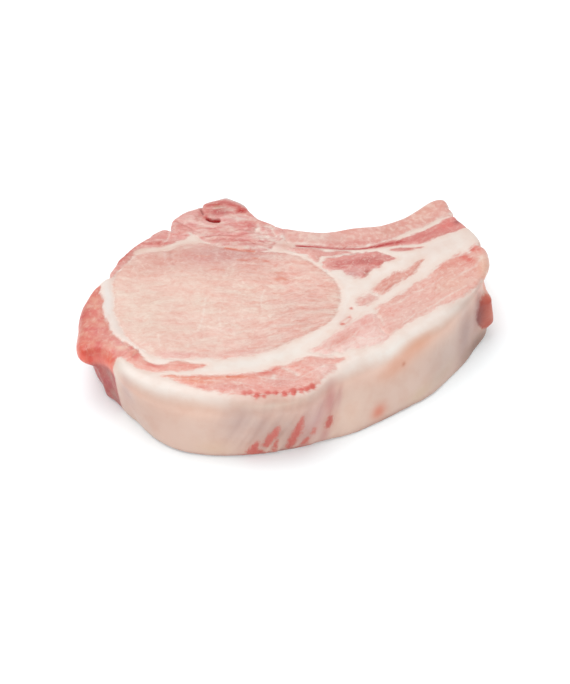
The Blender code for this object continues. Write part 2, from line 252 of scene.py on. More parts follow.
# Soft local tones on the cut face: x, y, half-sizes, turn, tone, strength.
MEAT_ON_TOP = (
    # loin eye: greyer towards the back, palest at the left, rosier at the right
    (-26, 24, 30, 7.5, 2, (216, 162, 155), 0.95),
    (-54, 19, 14, 7, 24, (224, 167, 154), 0.85),
    (5, 12, 15, 14, 0, (247, 199, 186), 0.8),
    (6, -10, 14, 14, 0, (233, 186, 174), 0.6),
    (0, -24, 14, 8, 28, (233, 182, 170), 0.7),
    (-20, 13, 26, 5, 0, (228, 176, 164), 0.5),
    (-18, -22, 24, 9, 0, (243, 208, 196), 0.5),
    (-60, -8, 11, 18, 0, (239, 210, 195), 0.85),
    (-43, -35.4, 9, 1.6, 0, (233, 174, 165), 0.75),
    (-18, -34, 14, 2.4, 6, (234, 184, 174), 0.6),
    (-36, -6, 6, 12, 0, (241, 209, 194), 0.5),
    # back muscle: the knob with its red ring and grey middle
    (-29.6, 51.4, 5.6, 3.4, 8, (200, 124, 116), 0.9),
    (-28.4, 50.4, 3.4, 1.6, 0, (210, 156, 150), 0.6),
    (-31.4, 55.6, 5.0, 1.2, 6, (196, 80, 74), 0.95),
    (-30.9, 54.4, 1.7, 0.8, 0, (200, 158, 132), 0.8),
    (-23.4, 54.4, 4.6, 1.2, -24, (202, 96, 88), 0.9),
    (-20.6, 51.2, 2.2, 1.7, -40, (190, 60, 54), 0.98),
    (-35.6, 47.4, 1.5, 1.3, -30, (196, 62, 58), 0.95),
    (-22, 46.2, 5.0, 1.8, 0, (229, 196, 189), 0.75),
    (-16.7, 41.3, 1.6, 2.1, 15, (208, 118, 112), 0.9),
    # its left lobe, the red rind under it and its lower bands
    (-56, 35, 5.5, 2.6, 30, (223, 148, 140), 0.75),
    (-55, 30.6, 5.5, 0.9, 6, (208, 112, 104), 0.8),
    (-46, 38, 5, 3, 30, (230, 158, 149), 0.6),
    (-44, 45, 7, 4, 30, (228, 166, 157), 0.6),
    (-36, 42, 8, 4, 10, (234, 190, 180), 0.7),
    (-24, 40, 7, 3.4, 8, (226, 158, 149), 0.6),
    (-43.4, 46.2, 3.0, 2.8, 20, (238, 198, 188), 0.85),
    (-38.6, 47, 1.6, 2.2, 0, (206, 132, 124), 0.75),
    (-23, 35, 4, 1.6, 0, (238, 176, 166), 0.7),
    (-23, 32, 5, 1.4, 0, (224, 140, 130), 0.7),
    (-22.6, 28, 5, 1.4, 0, (224, 140, 128), 0.75),
    (-68.6, 22.6, 1.6, 8, -34, (206, 106, 96), 0.9),
    (-66.2, 29.4, 1.0, 4, -40, (158, 72, 66), 0.7),
    (-15.3, 31.4, 2.0, 1.4, 0, (221, 122, 114), 0.9),
    (-11.5, 30.2, 1.6, 1.0, 0, (226, 148, 138), 0.8),
    (-11.3, 39.8, 1.2, 1.7, 0, (221, 128, 121), 0.9),
    (-8.8, 39.6, 0.8, 1.4, 0, (220, 130, 124), 0.8),
    (-2.9, 39.6, 1.6, 1.9, 0, (227, 126, 120), 0.9),
    # cap muscle
    (-82, -32, 5, 5, 0, (228, 94, 78), 0.95),
    (-76, -31, 5, 3.5, 20, (222, 110, 94), 0.65),
    (-71.4, -37, 2.4, 4.0, 0, (236, 122, 98), 0.95),
    (-83, -12, 2.6, 14, 0, (208, 116, 104), 0.8),
    (-80, 0, 3, 5, -30, (222, 120, 102), 0.7),
    (-79, -22, 4, 6, 0, (222, 116, 102), 0.75),
    (-75, -22, 3, 7, 10, (224, 146, 136), 0.6),
    (-67, -29, 6, 4, -45, (237, 178, 166), 0.85),
    (-60.5, -35.4, 3, 3, 0, (226, 128, 116), 0.7),
    (-53, -41.2, 4.6, 1.8, -12, (226, 128, 118), 0.75),
    (-39, -41.8, 8, 1.6, 0, (236, 150, 136), 0.8),
    (-9, 37, 9, 5, 0, (238, 198, 190), 0.6),
    # edge and rib muscles
    (66, 43.4, 6, 3.6, 35, (231, 128, 120), 0.9),
    (56, 36, 6, 2.2, 28, (216, 118, 112), 0.7),
    (46, 32, 5, 1.4, 14, (208, 108, 103), 0.8),
    (71, 45.6, 1.4, 2.4, -40, (164, 88, 88), 0.85),
    (27, 31.4, 17, 1.5, 4, (220, 146, 138), 0.65),
    (31, 20, 7, 2.4, 14, (196, 102, 97), 0.75),
    (21, 18, 5, 2.4, 8, (206, 116, 110), 0.85),
    (37.6, 19.6, 4, 2.5, 10, (210, 120, 112), 0.8),
    (24.8, 12.6, 5, 1.9, -28, (218, 160, 154), 0.95),
    (31.4, 13, 1.6, 2.4, 0, (190, 104, 96), 0.7),
    # side and lower muscles
    (75.5, 27, 4, 2.0, 0, (222, 104, 92), 0.8),
    (72, 21.6, 5, 1.8, -32, (226, 108, 96), 0.95),
    (66, 17, 8, 4, 40, (232, 152, 138), 0.75),
    (80, 14, 3.4, 9, 0, (241, 192, 169), 0.85),
    (66, 6, 8, 5, 40, (236, 184, 166), 0.6),
    (46, 0, 8, 1.8, 40, (228, 158, 146), 0.5),
    (21, -26, 9, 2.5, 42, (226, 150, 138), 0.7),
    (30, -16, 4, 3, 40, (233, 164, 154), 0.6),
    (45, -14, 10, 4, 40, (238, 194, 183), 0.6),
    (-46, -47.2, 5, 1.4, -4, (240, 156, 136), 0.9),
    (-36, -49, 7, 2.4, -4, (240, 148, 124), 0.95),
    (-26, -47.6, 9, 1.0, 0, (240, 160, 140), 0.8),
    (-22, -47.6, 5, 0.7, 0, (226, 128, 96), 0.7),
    (-34.5, -53.2, 3.6, 0.8, 4, (226, 122, 108), 0.7),
    (-22, -53, 10, 2.4, 0, (230, 168, 158), 0.7),
    (-8.5, -43.8, 5, 1.4, 24, (224, 116, 104), 0.85),
    (8, -39.5, 5, 3, 20, (234, 170, 158), 0.7),
    (-3, -49, 8, 4, 0, (230, 176, 168), 0.7),
    (14, -43, 5, 4.5, 0, (240, 203, 194), 0.9),
    (57, 52, 9, 4, 45, (236, 186, 170), 0.8),
    (42, 39, 6, 3, 30, (226, 170, 156), 0.6),
    (13, 34.4, 9, 3, 0, (232, 202, 191), 0.85),
)
FAT_ON_TOP = (
    (60, 28, 10, 4, 35, (240, 218, 208), 0.6),
    (74, 38, 4, 5, 0, (238, 214, 202), 0.7),
    (22, -16, 3, 5, 0, (241, 212, 202), 0.6),
    (-2, -36, 10, 2.5, 25, (246, 237, 228), 0.7),
    (-73.5, -4, 2.4, 13, 4, (237, 229, 224), 0.9),
    (-72.5, 12, 3, 3, 0, (226, 204, 193), 0.8),
    (41, -36.4, 8, 2.4, 38, (231, 188, 170), 0.85),
    (-69, -20, 3, 6, 30, (240, 231, 225), 0.8),
    (-62, 26.8, 9, 2, 35, (230, 196, 181), 0.85),
    (-68, -40, 4, 4, 0, (236, 222, 211), 0.8),
    (-18, -40, 14, 2.5, 12, (246, 238, 230), 0.6),
    (26, 12, 5, 3, 0, (240, 222, 212), 0.6),
    (39.5, -31, 10, 3, 38, (255, 249, 242), 0.9),
    (-50, 29, 16, 4, 8, (230, 203, 191), 0.85),
    (-2, 32, 5, 3.5, 0, (237, 212, 203), 0.8),
    (-3, 29.4, 4, 2.6, 0, (228, 180, 168), 0.85),
    (-6, -59.2, 16, 3.6, 0, (221, 184, 169), 0.95),
    (68, -4.5, 7, 3, 40, (232, 218, 208), 0.8),
)
# Soft local tones on the front side: x, height, half-sizes, turn, tone, strength.
MEAT_IN_FRONT = (
    # painted shade: the dark crease where the end flap stands out from the wall
    (76.2, 14, 1.8, 9, 0, (132, 68, 64), 0.95),
    (81.0, 16, 1.8, 6, 0, (220, 134, 108), 0.9),
)
FAT_IN_FRONT = (
    (-3, 13, 19, 10.5, 0, (191, 161, 151), 0.95),
    (-18, 19, 7, 6.5, 0, (188, 159, 151), 0.9),
    (-6, 27.2, 17, 0.9, 0, (226, 201, 186), 0.95),
    (7, 12, 5, 12, -10, (196, 158, 152), 0.8),
    (10.5, 15, 2.0, 7, -8, (196, 152, 148), 0.7),
    (15.2, 19, 2.5, 6.8, -3, (192, 128, 123), 0.95),
    (18.8, 18.5, 1.1, 4.5, -8, (196, 142, 137), 0.8),
    (13.4, 4.5, 1.8, 4, -10, (196, 142, 136), 0.8),
    # painted shade: dark bands along the foot, the contact shade where the wall meets the floor
    (-8, 0.6, 19, 1.1, 0, (166, 104, 98), 0.75),
    (-36, 0.2, 26, 1.2, 0, (176, 134, 128), 0.7),
    (38, 0.2, 28, 1.6, 0, (168, 128, 117), 0.8),
    (-18, 14, 5, 9, -25, (212, 182, 170), 0.6),
    (34.8, 5.4, 2.8, 2.8, 20, (221, 138, 117), 0.98),
    (49, 24.4, 9, 3.0, 14, (229, 168, 140), 0.8),
    (42, 21, 8, 4, 10, (226, 173, 150), 0.8),
    (28, 22, 6, 4, 15, (226, 188, 172), 0.5),
    (44.4, 20, 0.7, 0.8, 0, (200, 132, 108), 0.9),
    (52, 4, 5, 2.5, 20, (216, 190, 164), 0.6),
    (62, 6.5, 5, 3, 25, (204, 180, 156), 0.6),
    # painted shade: the right end's wall, darker where it turns away from the overhead lamp and
    # greyer beside the end flap
    (62, 12, 8, 9.5, 10, (204, 179, 168), 0.85),
    (71, 14, 3.6, 12, 0, (181, 152, 145), 0.9),
    (76.5, 18, 2.2, 9, 0, (172, 134, 130), 0.9),
    (77, 2.5, 6, 5, 0, (152, 119, 106), 0.95),
    (-37, 24, 8, 3, 0, (230, 194, 176), 0.7),
    (-54, 15, 12, 12, 0, (206, 171, 156), 0.7),
    (-64, 20, 3, 10, 0, (204, 168, 160), 0.6),
    (-30, 5, 7, 4, 0, (220, 188, 166), 0.7),
    (24, 10, 8, 10, 0, (231, 200, 183), 0.9),
)
# Warmer fat just under the front rim: how much is added, height, half-height.
WARM_BAND = ((11, 4, 1), 24.0, 4.5)
# Slanted strips in the middle of the front: their x, how much is added at their palest.
STRIP_MIDDLE, STRIP_CHANGE = -4, (10, 13, 12)
# Thin lines on the cut face: tone, half-width, strength, groove, points.
LINES = (
    # seam between loin eye and back muscle, its fork and its faint end
    (SEAM_TONE, 0.8, 0.9, 0.1, ((-62, 26.4), (-56, 27.6), (-50, 28.8), (-45.6, 31.2),
     (-41.6, 33), (-38.6, 33.4), (-35.5, 32))),
    (SEAM_TONE, 0.8, 0.9, 0.0, ((-41.4, 37), (-40, 35), (-38.8, 33.6))),
    (SEAM_TONE, 0.5, 0.6, 0.1, ((-36, 32.2), (-31, 30), (-26, 28.8), (-21, 28))),
    ((222, 116, 92), 0.65, 0.9, 0.1, ((-26.5, 28), (-22.3, 27.2), (-19, 26.3), (-15, 25.8))),
    (SEAM_TONE, 0.45, 0.7, 0.1, ((-13, 28.4), (-8, 27), (-2, 26.6), (4, 25.4))),
    # between the two lobes of the back muscle
    (SEAM_TONE, 0.35, 0.6, 0.3, ((-51, 40), (-50.4, 36), (-51.5, 32.5), (-54, 30.4))),
    (SEAM_TONE, 0.35, 0.5, 0.1, ((-60, 31.4), (-56, 33), (-52, 33))),
    # folds of the back muscle
    (FOLD_TONE, 0.35, 0.7, 0.4, ((-48, 45), (-44, 42.4), (-40.5, 39.6), (-37.5, 38))),
    (FOLD_TONE, 0.35, 0.7, 0.4, ((-35, 35.6), (-29, 36.4), (-23, 35.6), (-15, 38))),
    (FOLD_TONE, 0.30, 0.6, 0.3, ((-33.5, 33), (-26, 33.6), (-18, 32.8), (-14.5, 30.6))),
    (FOLD_TONE, 0.30, 0.7, 0.3, ((-25.5, 38), (-21, 39.6), (-16, 38.6))),
    ((238, 200, 188), 0.4, 0.6, -0.2, ((-48, 39.5), (-42.5, 37.5), (-34, 34.4), (-26, 34.8),
     (-20, 34.2), (-14.5, 36))),
    ((238, 200, 188), 0.4, 0.6, -0.2, ((-30, 30.8), (-23, 31.2), (-14, 31.4), (-8, 29.2),
     (0, 28.2))),
    ((236, 192, 180), 0.4, 0.5, -0.1, ((-44, 46), (-38, 44.4), (-32, 42.2), (-26, 42))),
    (FOLD_TONE, 0.3, 0.5, 0.2, ((-43, 44.4), (-37, 42.6), (-31, 40.2))),
    # grey veil over the knob, the fold round its left and the fold under it
    ((218, 203, 199), 1.4, 0.9, 0.0, ((-34, 58), (-30, 60), (-27, 61), (-23, 58.6),
     (-19.4, 55.6))),
    ((238, 208, 200), 0.5, 0.6, 0.0, ((-18.4, 54), (-15.6, 50), (-12, 46.6))),
    ((146, 62, 58), 0.4, 0.85, 0.6, ((-37.6, 55.6), (-37.3, 52.1), (-36.6, 49.8))),
    ((240, 200, 190), 0.6, 0.7, 0.0, ((-29, 46.8), (-25.5, 48), (-20, 49.4), (-15, 46.6))),
    # white patches in the broken meat beside the bone
    (SEAM_TONE, 0.9, 0.85, 0.0, ((-13.6, 42.8), (-13.2, 40.4))),
    (SEAM_TONE, 1.0, 0.85, 0.0, ((-9.8, 36), (-9.2, 34.8))),
    (SEAM_TONE, 0.55, 0.85, 0.1, ((-7.8, 42), (-7.2, 38.6), (-5.8, 35.6))),
    (SEAM_TONE, 1.1, 0.85, 0.0, ((-3.4, 35.2), (-2.4, 34.2))),
    (SEAM_TONE, 0.9, 0.8, 0.0, ((-6, 32.2), (-3.4, 31.2), (-1, 30.8))),
    (SEAM_TONE, 0.5, 0.7, 0.0, ((-12.6, 38.6), (-11, 37.2), (-7, 38))),
    # red and pale lines along the bone
    ((180, 50, 50), 0.6, 1.0, 0.3, ((3, 29.6), (12.5, 29), (20.8, 28.2), (29.1, 28.2),
     (35.3, 29.2), (40.8, 30.9), (46, 32.2))),
    (SEAM_TONE, 0.6, 0.8, 0.0, ((-1, 31), (6, 30.9), (14, 30.2))),
    (SEAM_TONE, 0.6, 0.9, 0.0, ((10, 27.6), (22, 27.4), (32, 27.4), (38, 28.2), (46, 29.6),
     (55, 30.2))),
    (SEAM_TONE, 0.9, 1.0, 0.1, ((43.5, 34), (47.6, 36.4), (50.3, 38.8), (53.7, 40.9),
     (57.5, 42.6), (60.6, 44.8), (63.3, 47.8), (68.4, 51.2))),
    # membrane over the bone's far edge
    ((222, 213, 207), 1.2, 0.9, -0.1, ((42, 45), (47, 48), (53, 52.8), (59, 58.6), (63, 60.8),
     (66.4, 59.6))),
    # line through the dark rib muscle
    ((218, 168, 162), 0.3, 0.8, 0.1, ((26, 16.6), (29, 14), (31, 12.4))),
    # thin pale webs in the side and lower muscles
    (SEAM_TONE, 0.6, 0.6, 0.1, ((37.4, -18.4), (36.4, -14.6), (35, -11), (33.6, -8.4))),
    (SEAM_TONE, 0.4, 0.5, 0.0, ((14, -32), (20, -29), (25, -25), (28, -20), (33, -17))),
    (SEAM_TONE, 0.4, 0.5, 0.0, ((25, -25), (31, -26.5), (36, -25))),
    (SEAM_TONE, 0.9, 0.9, 0.2, ((-3, -41.6), (1.5, -44.2), (2.5, -45.6))),
    (SEAM_TONE, 0.35, 0.6, 0.0, ((2, -42), (8, -44.5), (14, -41), (19, -40.4))),
    (SEAM_TONE, 0.35, 0.6, 0.0, ((-12, -47), (-5, -48), (2, -48.6), (8, -44.5))),
    (SEAM_TONE, 0.9, 0.7, 0.0, ((-6.8, -47.4), (-6.2, -46.2))),
    (SEAM_TONE, 0.35, 0.5, 0.0, ((-44, -48.6), (-34, -49.4), (-22, -50), (-14, -52))),
    (SEAM_TONE, 0.4, 0.6, 0.0, ((39, -7), (44, -5), (50, 1), (57, 5), (62, 10))),
    (SEAM_TONE, 0.4, 0.6, 0.0, ((44, -18), (50, -12), (57, -7), (64, -1), (72, 5))),
    (SEAM_TONE, 0.5, 0.6, 0.0, ((66, 8), (71, 13), (76, 16), (79, 22))),
    # faint upright marks across the loin eye
    (THREAD_TONE, 0.45, 0.55, 0.0, ((-34, -3), (-34.6, -12), (-36.5, -22))),
    (THREAD_TONE, 0.35, 0.45, 0.0, ((-28, -6), (-28.4, -14), (-27.4, -22))),
    (THREAD_TONE, 0.35, 0.40, 0.0, ((-47, -2), (-48, -10))),
    ((238, 212, 206), 0.8, 0.5, 0.0, ((-49.5, 17), (-51.5, 21), (-52, 25))),
    ((204, 150, 140), 0.5, 0.5, 0.1, ((-49.5, 25.6), (-49, 20.6), (-47.6, 17))),
    (THREAD_TONE, 0.35, 0.40, 0.0, ((-10, 4), (-12, -4), (-11, -12))),
    (THREAD_TONE, 0.35, 0.40, 0.0, ((-52, -24), (-51, -31))),
    (THREAD_TONE, 0.35, 0.35, 0.0, ((-23, 6), (-22, -3))),
    # long pale fibres at its right
    ((242, 208, 194), 0.35, 0.55, 0.0, ((-4, -6), (4, -7), (12, -6), (17, -6.4))),
    ((242, 208, 194), 0.35, 0.45, 0.0, ((-12, -14), (-2, -15.4), (8, -17), (13, -15))),
    ((220, 150, 138), 0.4, 0.5, 0.1, ((0, -8.6), (9, -8.8), (17, -8))),
    # small red flecks in the loin eye
    (FLECK_TONE, 0.5, 0.7, 0.0, ((-21.5, 20), (-18, 19.6))),
    (FLECK_TONE, 0.5, 0.6, 0.0, ((-15.5, 21.2), (-13, 20.6))),
    (FLECK_TONE, 0.5, 0.5, 0.0, ((-11, 19.4), (-9, 19.2))),
    ((222, 134, 112), 0.6, 0.5, 0.0, ((-6, 12.4), (-3.5, 12.6))),
    ((224, 134, 110), 0.8, 0.6, 0.0, ((-5.6, 8.2), (-3.4, 9.4), (-2, 8.6))),
    ((226, 150, 132), 0.5, 0.5, 0.0, ((-38, 22.6), (-33, 22.4))),
    ((226, 150, 132), 0.5, 0.4, 0.0, ((-33, 14.6), (-27, 14))),
    ((224, 150, 138), 0.6, 0.4, 0.0, ((10, 5), (14, 4.6))),
    # ring of small vessels in the seam between eye and side muscle
    ((233, 158, 146), 0.4, 0.6, 0.0, ((24.4, -14), (23, -16.6), (20.5, -18.4), (19.8, -17),
     (22, -14.6), (24, -12.6))),
)
# Red streaks down the front side: x, height, half-width at each point.
STREAKS = (
    ((4.6, 19.2, 0.8), (3.6, 15.4, 1.5), (2.2, 10.6, 1.9), (0.8, 6, 1.8), (-0.4, 2.4, 1.5)),
    ((-5.0, 16.2, 0.9), (-6.2, 13.2, 1.9), (-7.8, 9.8, 2.3), (-9.4, 6.2, 1.4)),
    ((-5.4, 8, 0.7), (-6, 4.4, 1.2), (-6.2, 2.2, 0.8)),
    ((-13, 9.4, 0.5), (-13.6, 6.2, 1.6), (-15, 2.8, 2.3), (-12, 1.8, 1.5)),
    ((15.2, 11.4, 1.3), (14.8, 9.4, 1.8), (14.4, 8.2, 1.2)),
    ((8.8, 11, 0.4), (8.4, 7.6, 0.7)),
    ((6.6, 6, 0.9), (5.4, 3, 1.3)),
    ((-18, 0.4, 0.9), (-9, 0.4, 1.0)),
    ((2.6, 0.4, 0.8), (8, 0.4, 0.8)),
)
STREAK_TONE = (199, 108, 98)
# Bright red beads along the lower edge of the lower muscle: x, y, radius.
BEADS = (
    (-17.4, -55.6, 1.1), (-15.6, -55.4, 1.0), (-12.8, -57.2, 1.3), (-10.2, -57.3, 1.1),
    (-8.6, -55.6, 0.9), (-5.6, -55.4, 0.8), (-2.2, -56.0, 1.4), (1.2, -54.6, 1.7),
    (4.2, -54.0, 1.4), (6.4, -53.2, 1.5), (8.4, -51.6, 1.3),
    (24.6, -8.0, 0.7), (23.6, -13.6, 0.5), (20.6, -17.6, 0.5),
)
BEAD_TONE = (222, 108, 96)
# The slit under the knob of the back muscle.
SLIT = ((-34.6, 46.2), (-33.6, 45.5), (-32, 45.2), (-30, 45.3))
SLIT_TONE, SLIT_HALF = (172, 4, 8), 0.76
# Notches and bumps of the edge: where, how deep (minus stands out),
# half-width along the edge, reach inwards, lowest and highest height.
NOTCHES = (
    (-50.8, 40.5, 2.4, 1.2, 5.0, NO_LOW, NO_HIGH),
    (-38.0, 56.3, 1.0, 0.8, 3.0, 8, NO_HIGH),
    (-74.6, 11.5, 1.2, 1.6, 3.0, 5, NO_HIGH),
    (-60.0, 36.0, 0.6, 1.5, 3.0, NO_LOW, NO_HIGH),
    (68.2, 55.0, 0.9, 0.8, 3.0, 10, NO_HIGH),
    (69.2, 50.6, 0.9, 0.8, 3.0, 10, NO_HIGH),
    (80.0, 30.6, 1.4, 1.2, 3.0, NO_LOW, NO_HIGH),
    (80.2, 13.2, 1.6, 3.5, 4.0, 21.5, 26),
    (82.0, 19.5, 2.5, 6.0, 4.0, 12.5, 24),
    (80.0, 7.6, -3.4, 4.4, 4.5, 6.0, 20.5),
)


# ------------------------------------------------------------------- noise
def hashed(ix, iy, iz, seed):
    """Repeatable random numbers 0-1 for whole-number places."""
    mask = np.int64(0x7FFFFFFF)
    n = (ix * 374761393 + iy * 668265263 + iz * 1274126177 + seed * 69069) & mask
    n = ((n ^ (n >> 13)) * 1103515245 + 12345) & mask
    n = ((n ^ (n >> 16)) * 69069 + 1) & mask
    return ((n >> 8) & 0xFFFF) / 65535.0


def noise(places, size, seed):
    """Smooth noise from -1 to 1 with lumps of the given size in mm."""
    scaled = np.asarray(places, float) / np.asarray(size, float)
    cell = np.floor(scaled).astype(np.int64)
    part = scaled - cell
    part = part * part * part * (part * (part * 6 - 15) + 10)
    total = 0.0
    for dx in (0, 1):
        wx = part[:, 0] if dx else 1 - part[:, 0]
        for dy in (0, 1):
            wy = part[:, 1] if dy else 1 - part[:, 1]
            for dz in (0, 1):
                wz = part[:, 2] if dz else 1 - part[:, 2]
                total = total + wx * wy * wz * hashed(
                    cell[:, 0] + dx, cell[:, 1] + dy, cell[:, 2] + dz, seed)
    return total * 2 - 1


def smooth(x, low, high):
    """0 below low, 1 above high, smooth between."""
    t = np.clip((x - low) / (high - low), 0, 1)
    return t * t * (3 - 2 * t)


def hump(away, half, power=2):
    """1 at no distance, falling softly to 0 beyond the half-width."""
    return np.exp(-(away / half) ** power)


def patch(plane, x, y, half_x, half_y, turn=0.0):
    """1 in the middle of a soft oval, falling to 0 round it."""
    c, s = math.cos(math.radians(turn)), math.sin(math.radians(turn))
    px, py = plane[:, 0] - x, plane[:, 1] - y
    return np.exp(-((px * c + py * s) / half_x) ** 2 - ((py * c - px * s) / half_y) ** 2)


# ----------------------------------------------------------------- outlines
def closed_curve(points, spacing=OUTLINE_STEP):
    """Evenly spaced samples of a smooth closed curve through the points."""
    p = np.array(points, float)
    before, after, beyond = np.roll(p, 1, 0), np.roll(p, -1, 0), np.roll(p, -2, 0)
    t = (np.arange(16) / 16)[None, :, None]
    a, b, c, d = (q[:, None, :] for q in (before, p, after, beyond))
    fine = 0.5 * (2 * b + (c - a) * t + (2 * a - 5 * b + 4 * c - d) * t ** 2
                  + (3 * b - a - 3 * c + d) * t ** 3)
    fine = fine.reshape(-1, p.shape[1])
    fine = np.vstack([fine, fine[:1]])
    run = np.r_[0, np.cumsum(np.linalg.norm(np.diff(fine[:, :2], axis=0), axis=1))]
    count = max(12, round(run[-1] / spacing))
    wanted = run[-1] * np.arange(count) / count
    return np.stack([np.interp(wanted, run, fine[:, k]) for k in range(p.shape[1])], 1)


def beside(xy, a, b):
    """How far along the line from a to b the nearest point is, 0-1, and how far away."""
    ex, ey = b[0] - a[0], b[1] - a[1]
    x, y = xy[:, 0] - a[0], xy[:, 1] - a[1]
    t = np.clip((x * ex + y * ey) / (ex * ex + ey * ey), 0, 1)
    return t, np.hypot(x - t * ex, y - t * ey)


def depth_inside(xy, outline):
    """Distance in mm to the outline: positive inside, negative outside."""
    near = np.full(len(xy), np.inf)
    inside = np.zeros(len(xy), bool)
    x, y = xy[:, 0], xy[:, 1]
    for a, b in zip(outline, np.roll(outline, -1, 0)):
        near = np.minimum(near, beside(xy, a, b)[1])
        if a[1] != b[1]:
            crosses = (a[1] > y) != (b[1] > y)
            inside ^= crosses & (x < a[0] + (y - a[1]) * (b[0] - a[0]) / (b[1] - a[1]))
    return np.where(inside, near, -near)


def near_path(xy, path, tapered=False):
    """Distance in mm to an open path, less its half-width where it has one."""
    near = np.full(len(xy), np.inf)
    for a, b in zip(path, path[1:]):
        t, away = beside(xy, a, b)
        if tapered:
            away = away - a[2] - t * (b[2] - a[2])
        near = np.minimum(near, away)
    return near


# ---------------------------------------------------------------- the skin
def evened(ring, rounds):
    """The ring's rows, each averaged with its two neighbours again and again."""
    for _ in range(rounds):
        ring = (ring + np.roll(ring, 1, 0) + np.roll(ring, -1, 0)) / 3
    return ring


def outward(ring, rounds):
    """Unit directions out of a clockwise ring, evened out with their neighbours."""
    along = np.roll(ring, -1, 0) - np.roll(ring, 1, 0)
    out = np.stack([-along[:, 1], along[:, 0]], 1)
    out = evened(out / np.linalg.norm(out, axis=1)[:, None], rounds)
    return out / np.linalg.norm(out, axis=1)[:, None]


def side_rings():
    """The rings of points that make the foot, the wall and the upper rim."""
    edge = closed_curve(SLAB_EDGE, SIDE_STEP)
    outline, flare, rim = edge[:, :2], edge[:, 2], edge[:, 3]
    foot = outline + outward(outline, SPREAD_ROUNDS) * flare[:, None]
    spread = evened(foot, FOOT_ROUNDS) - outline
    lip = smooth(-flare, *LIP_TUCK)

    def ring(z, inset):
        slope = (1 - z / THICKNESS) ** WALL_CURVE
        tuck = 1 - smooth(z, *LIP_HEIGHTS)
        plan = outline + spread * (slope + (tuck - slope) * lip)[:, None]
        plan = plan - outward(plan, WALL_ROUNDS) * np.broadcast_to(inset, z.shape)[:, None]
        return np.column_stack([plan, z])

    rings = []
    for a in np.linspace(math.pi / 2, 0, FOOT_ROWS):
        height = np.full(len(edge), FOOT_ROUND * (1 - math.sin(a)))
        rings.append(ring(height, FOOT_ROUND * (1 - math.cos(a))))
    rows = round((THICKNESS - RIM_AND_FOOT) / SIDE_STEP)
    for k in range(1, rows):
        rings.append(ring(FOOT_ROUND + (THICKNESS - rim - FOOT_ROUND) * k / rows, 0.0))
    for a in np.linspace(0, math.pi / 2, RIM_ROWS):
        rings.append(ring(THICKNESS - rim * (1 - math.sin(a)), rim * (1 - math.cos(a))))
    return rings


def filled(ring, step):
    """Even points inside a ring and the triangles that join them to it."""
    low, high = ring.min(0), ring.max(0)
    rows = np.arange(low[1], high[1], step * ROW_GAP)
    cols = np.arange(low[0], high[0] + step, step)
    gx, gy = np.meshgrid(cols, rows)
    gx = gx + (np.arange(len(rows)) % 2)[:, None] * step / 2
    grid = np.stack([gx.ravel(), gy.ravel()], 1)
    grid = grid[depth_inside(grid, ring) > step * 0.55]
    points = [Vector(p) for p in np.vstack([ring, grid])]
    count = len(ring)
    edges = [(i, (i + 1) % count) for i in range(count)]
    out = delaunay_2d_cdt(points, edges, [], 1, 1e-5)
    source = [o[0] for o in out[3]]
    return grid, np.array([[source[i] for i in f] for f in out[2]])


def skin():
    """Places and faces of the whole chop, before any relief."""
    rings = side_rings()
    count = len(rings[0])
    i = np.arange(count)
    j = (i + 1) % count
    faces = []
    for k in range(len(rings) - 1):
        low, high = k * count, (k + 1) * count
        faces.append(np.stack([high + j, low + j, low + i], 1))
        faces.append(np.stack([high + i, high + j, low + i], 1))
    places = np.vstack(rings)
    for start, height, step in ((len(places) - count, THICKNESS, TOP_STEP),
                                (0, 0.0, UNDER_STEP)):
        grid, flat = filled(places[start:start + count, :2], step)
        flat = np.where(flat < count, flat + start, flat + len(places) - count)
        faces.append(flat if start else flat[:, ::-1])
        places = np.vstack([places, np.column_stack([grid, np.full(len(grid), height)])])
    return places, np.vstack(faces)


def normals_of(places, faces):
    """Smooth outward direction at every vertex."""
    a, b, c = (places[faces[:, n]] for n in range(3))
    flat = np.cross(b - a, c - a)
    total = np.zeros_like(places)
    for n in range(3):
        for axis in range(3):
            total[:, axis] += np.bincount(faces[:, n], flat[:, axis], len(places))
    return total / np.maximum(np.linalg.norm(total, axis=1), 1e-12)[:, None]


def linear(tone, light):
    """Surface colour that shows as the tone under that much light."""
    c = np.clip(tone, 0, 255) / 255
    c = np.where(c <= 0.04045, c / 12.92, ((c + 0.055) / 1.055) ** 2.4)
    return np.clip((c - SHEEN) / light, 0.004, 0.97)


def flap_depth(places):
    """Depth in mm inside the oval that the end flap covers on the wall."""
    along = (places[:, 1] - FLAP_MIDDLE[0]) / FLAP_HALF[0]
    lift = FLAP_LEAN * (FLAP_MIDDLE[0] - places[:, 1])
    up = (places[:, 2] - FLAP_MIDDLE[1] - lift) / FLAP_HALF[1]
    return (1 - np.hypot(along, up)) * FLAP_DEPTH


def cap_bulge(high):
    """How far the cap muscle's border has moved in plan, going down the wall."""
    down = 1 - high / THICKNESS
    return np.column_stack([CAP_BULGE * np.sin(down * CAP_BULGE_ARC), high * 0])


